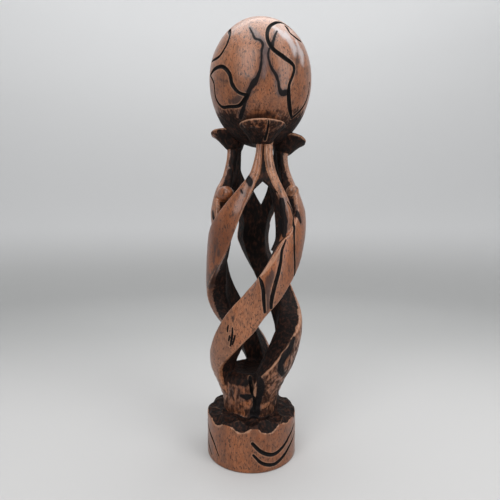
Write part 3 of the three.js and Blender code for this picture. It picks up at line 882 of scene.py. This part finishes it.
def wood_material():
    material = bpy.data.materials.new("carved_wood")
    material.use_nodes = True
    nodes = Nodes(material)
    shader = material.node_tree.nodes["Principled BSDF"]

    figure = nodes.noise(16, stretch=3, detail=3)
    mottle = nodes.noise(4, stretch=2, detail=4, seed=3)
    ragged = nodes.noise(2.2, stretch=2.2, detail=4, seed=7)
    fibre = nodes.noise(0.5, stretch=9, detail=3, seed=11)
    pores = nodes.noise(0.9, stretch=2.4, detail=1, seed=5)
    loose = nodes.math("SUBTRACT", ragged, 0.5)
    soft = nodes.math("SUBTRACT", mottle, 0.5)

    wood = nodes.mix(nodes.ramp(figure, 0.35, 0.65), linear(140, 80, 44), linear(106, 56, 27))
    tone_and_sheen = nodes.math("ADD", nodes.measure("tone_and_sheen"), nodes.math("MULTIPLY", soft, 0.9))
    # Paler, pinkish wood; on the globe's top this paleness is partly a painted sheen.
    wood = nodes.mix(nodes.ramp(tone_and_sheen, 0, 1.05), wood, linear(172, 122, 92))
    wood = nodes.mix(nodes.ramp(mottle, 0.46, 0.7, 0.62), wood, linear(74, 38, 20))
    wood = nodes.mix(nodes.ramp(fibre, 0.4, 0.7, 0.5), wood, linear(66, 34, 18))
    wood = nodes.mix(nodes.ramp(nodes.noise(2.4, stretch=1.5, detail=2, seed=17), 0.62, 0.7, 0.7), wood, linear(48, 26, 18))
    pore = nodes.ramp(pores, 0.58, 0.68, 0.8)
    wood = nodes.mix(pore, wood, linear(34, 17, 11))

    black_edge = nodes.measure("black")
    rough_edge = nodes.math("MULTIPLY", loose, 1.0)
    smoke = nodes.ramp(nodes.math("ADD", black_edge, nodes.math("MULTIPLY", soft, 5.0)), -2.8, 0, 0.6)
    grey = nodes.ramp(nodes.math("ADD", nodes.measure("grey"), nodes.math("MULTIPLY", soft, 6.0)), -1.6, 1.8, 0.75)
    wood = nodes.mix(grey, wood, nodes.mix(fibre, linear(122, 106, 104), linear(62, 52, 54)))
    wood = nodes.mix(smoke, wood, linear(50, 38, 38))
    # Painted sheen: the pale bluish highlight on the globe's upper right is painted into the wood colour here
    painted_sheen = nodes.ramp(nodes.math("ADD", nodes.measure("painted_sheen"), nodes.math("MULTIPLY", soft, 7.0)), -2, 2, 0.75)
    wood = nodes.mix(painted_sheen, wood, linear(176, 168, 168))

    dark_wood = nodes.mix(nodes.ramp(ragged, 0.42, 0.75), linear(14, 8, 7), linear(58, 33, 23))
    # Besides the stains, this darkness carries painted shade on the lower globe.
    stain_and_shade = nodes.math("ADD", nodes.measure("stain_and_shade"), nodes.math("MULTIPLY", loose, 1.1))
    stain_and_shade = nodes.ramp(nodes.math("ADD", stain_and_shade, nodes.math("MULTIPLY", soft, 0.7)), 0.3, 0.72)
    shade = nodes.math("ADD", nodes.measure("shade"), nodes.math("MULTIPLY", soft, 7.0))
    shade = nodes.ramp(shade, -0.8, 1.6, 0.85)
    black = nodes.ramp(nodes.math("ADD", black_edge, rough_edge), -0.55, -0.05, 0.97)
    colour = nodes.mix(shade, wood, linear(46, 26, 20))
    colour = nodes.mix(stain_and_shade, colour, dark_wood)

    # Pale edges: rubbed edges of the limbs and hands, and a painted highlight along the ridges between the base's
    # gouge cuts.
    wear_and_glint = nodes.math("ADD", nodes.measure("edge"), nodes.math("MULTIPLY", mottle, 2.6))
    rim = nodes.ramp(wear_and_glint, 2.5, 1.5, 0.7)
    pale_cover = nodes.ramp(nodes.math("ADD", nodes.measure("pale"), rough_edge), -0.4, 0.4, 0.7)
    pale_edge = nodes.math("MAXIMUM", rim, pale_cover)
    # Painted highlight: a pale line along the edges of each groove, where light catches its lips, laid on with the
    # same pale colour as the rubbed edges.
    lip = nodes.math("MULTIPLY", nodes.ramp(nodes.measure("groove"), -1.0, -0.5, 0.45), nodes.ramp(mottle, 0.4, 0.5))
    pale_edge = nodes.math("MAXIMUM", pale_edge, lip)
    colour = nodes.mix(pale_edge, colour, nodes.mix(fibre, linear(190, 146, 118), linear(126, 84, 60)))
    colour = nodes.mix(black, colour, linear(10, 8, 10))
    clean = nodes.ramp(nodes.math("ADD", nodes.measure("clean"), rough_edge), -0.3, 0.3, 0.95)
    colour = nodes.mix(clean, colour, wood)

    groove = nodes.ramp(nodes.measure("groove"), -0.35, 0.0)
    colour = nodes.mix(groove, colour, linear(9, 6, 6))

    darkness = nodes.math("MAXIMUM", nodes.math("MAXIMUM", stain_and_shade, black), groove)
    polish = nodes.math("MULTIPLY", nodes.math("SUBTRACT", 1.0, darkness), nodes.blend(figure, 0.55, 0.8))
    roughness = nodes.blend(darkness, nodes.blend(figure, 0.4, 0.5), 0.6)
    height = nodes.math("ADD", nodes.math("MULTIPLY", pore, -1.0), nodes.math("MULTIPLY", fibre, 0.5))
    height = nodes.math("ADD", height, nodes.math("MULTIPLY", ragged, nodes.blend(stain_and_shade, 0.5, 3.0)))
    bump = nodes.add("ShaderNodeBump", {"Height": height, "Strength": 0.5, "Distance": 0.0003})
    nodes.tree.links.new(polish, shader.inputs["Coat Weight"])
    shader.inputs["Coat Roughness"].default_value = 0.3
    nodes.tree.links.new(colour, shader.inputs["Base Color"])
    nodes.tree.links.new(roughness, shader.inputs["Roughness"])
    nodes.tree.links.new(bump.outputs[0], shader.inputs["Normal"])
    shader.inputs["Specular IOR Level"].default_value = 0.12
    return material


carving.data.materials.clear()
carving.data.materials.append(wood_material())


# Studio: one pale sweep that closes behind in every direction, and soft lights

STAGE_RADIUS = 1.5
STAGE_CURVE = 0.7
STAGE_HEIGHT = 1.8
STAGE_SIDES = 96
# Greys of the floor near and far, of the curve and the wall behind it, and of the wall in front. They are painted
# light and shade: the floor darker further back, the wall lighter higher up, and the wall in front dark, standing in
# for an unlit open front
STAGE_NEAR = (0.48, 0.475, 0.47, 1)
STAGE_FAR = (0.4, 0.4, 0.395, 1)
STAGE_CURVE_GREY = (0.6, 0.6, 0.6, 1)
STAGE_WALL = (0.85, 0.85, 0.85, 1)
STAGE_FRONT_PAINTED_DARK = (0.12, 0.12, 0.12, 1)


def add_stage():
    flat = STAGE_RADIUS - STAGE_CURVE
    profile = [(flat * 0.5, 0), (flat, 0)]
    for i in range(1, 19):
        turn = i / 18 * math.pi / 2
        profile.append((flat + STAGE_CURVE * math.sin(turn), STAGE_CURVE * (1 - math.cos(turn))))
    profile.append((STAGE_RADIUS, STAGE_HEIGHT))
    turns = [2 * math.pi * i / STAGE_SIDES for i in range(STAGE_SIDES)]
    sweep = bmesh.new()
    rings = [[sweep.verts.new((r * math.cos(t), r * math.sin(t), h)) for t in turns] for r, h in profile]
    sweep.faces.new(rings[0])
    for lower, upper in zip(rings, rings[1:]):
        for i in range(STAGE_SIDES):
            j = (i + 1) % STAGE_SIDES
            sweep.faces.new((lower[j], lower[i], upper[i], upper[j]))
    data = bpy.data.meshes.new("floor")
    sweep.to_mesh(data)
    sweep.free()
    data.shade_smooth()
    floor = bpy.data.objects.new("floor", data)
    bpy.context.scene.collection.objects.link(floor)
    material = bpy.data.materials.new("pale_floor")
    material.use_nodes = True
    shader = material.node_tree.nodes["Principled BSDF"]
    nodes = Nodes(material)
    place = nodes.add("ShaderNodeSeparateXYZ", {0: nodes.add("ShaderNodeTexCoord").outputs["Object"]}).outputs
    # Painted light and shade on the sweep: the floor darkens further back, the wall lightens higher up, and the front
    # wall is dark.
    floor_painted_falloff = nodes.mix(nodes.ramp(place[1], 0, 0.4), STAGE_NEAR, STAGE_FAR)
    wall_painted_falloff = nodes.mix(nodes.ramp(place[2], 0.25, 1.1), STAGE_CURVE_GREY, STAGE_WALL)
    colour = nodes.mix(nodes.ramp(place[2], 0, 0.2), floor_painted_falloff, wall_painted_falloff)
    front = nodes.math("MULTIPLY", nodes.ramp(place[1], -0.2, -0.9), nodes.ramp(place[2], 0.02, 0.3))
    colour = nodes.mix(front, colour, STAGE_FRONT_PAINTED_DARK)
    nodes.tree.links.new(colour, shader.inputs["Base Color"])
    shader.inputs["Roughness"].default_value = 0.9
    shader.inputs["Specular IOR Level"].default_value = 0.1
    data.materials.append(material)


def add_light(name, place, target, size, power, colour=(1, 1, 1)):
    data = bpy.data.lights.new(name, "AREA")
    data.shape = "RECTANGLE"
    data.size, data.size_y = size
    data.energy = power
    data.color = colour
    light = bpy.data.objects.new(name, data)
    light.location = place
    light.rotation_euler = (Vector(target) - Vector(place)).to_track_quat("-Z", "Y").to_euler()
    bpy.context.scene.collection.objects.link(light)


def add_world():
    world = bpy.data.worlds.new("studio")
    world.use_nodes = True
    background = world.node_tree.nodes["Background"]
    background.inputs["Color"].default_value = (0.85, 0.92, 1, 1)
    background.inputs["Strength"].default_value = 0.3
    bpy.context.scene.world = world


add_stage()
add_light("key", (-0.45, -0.85, 0.7), (0, 0, 0.18), (0.6, 0.8), 7)
add_light("fill", (0.7, -0.6, 0.5), (0, 0, 0.2), (0.5, 0.9), 5.4)
add_light("top", (0.05, 0.0, 0.95), (0, 0, 0.2), (0.9, 0.9), 8)
add_light("wall", (0, 0.45, 1.5), (0, 1.45, 1.1), (1.6, 0.3), 6.5)
add_world()
bpy.context.scene.view_settings.view_transform = "Standard"

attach(carving, "root")
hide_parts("carving")
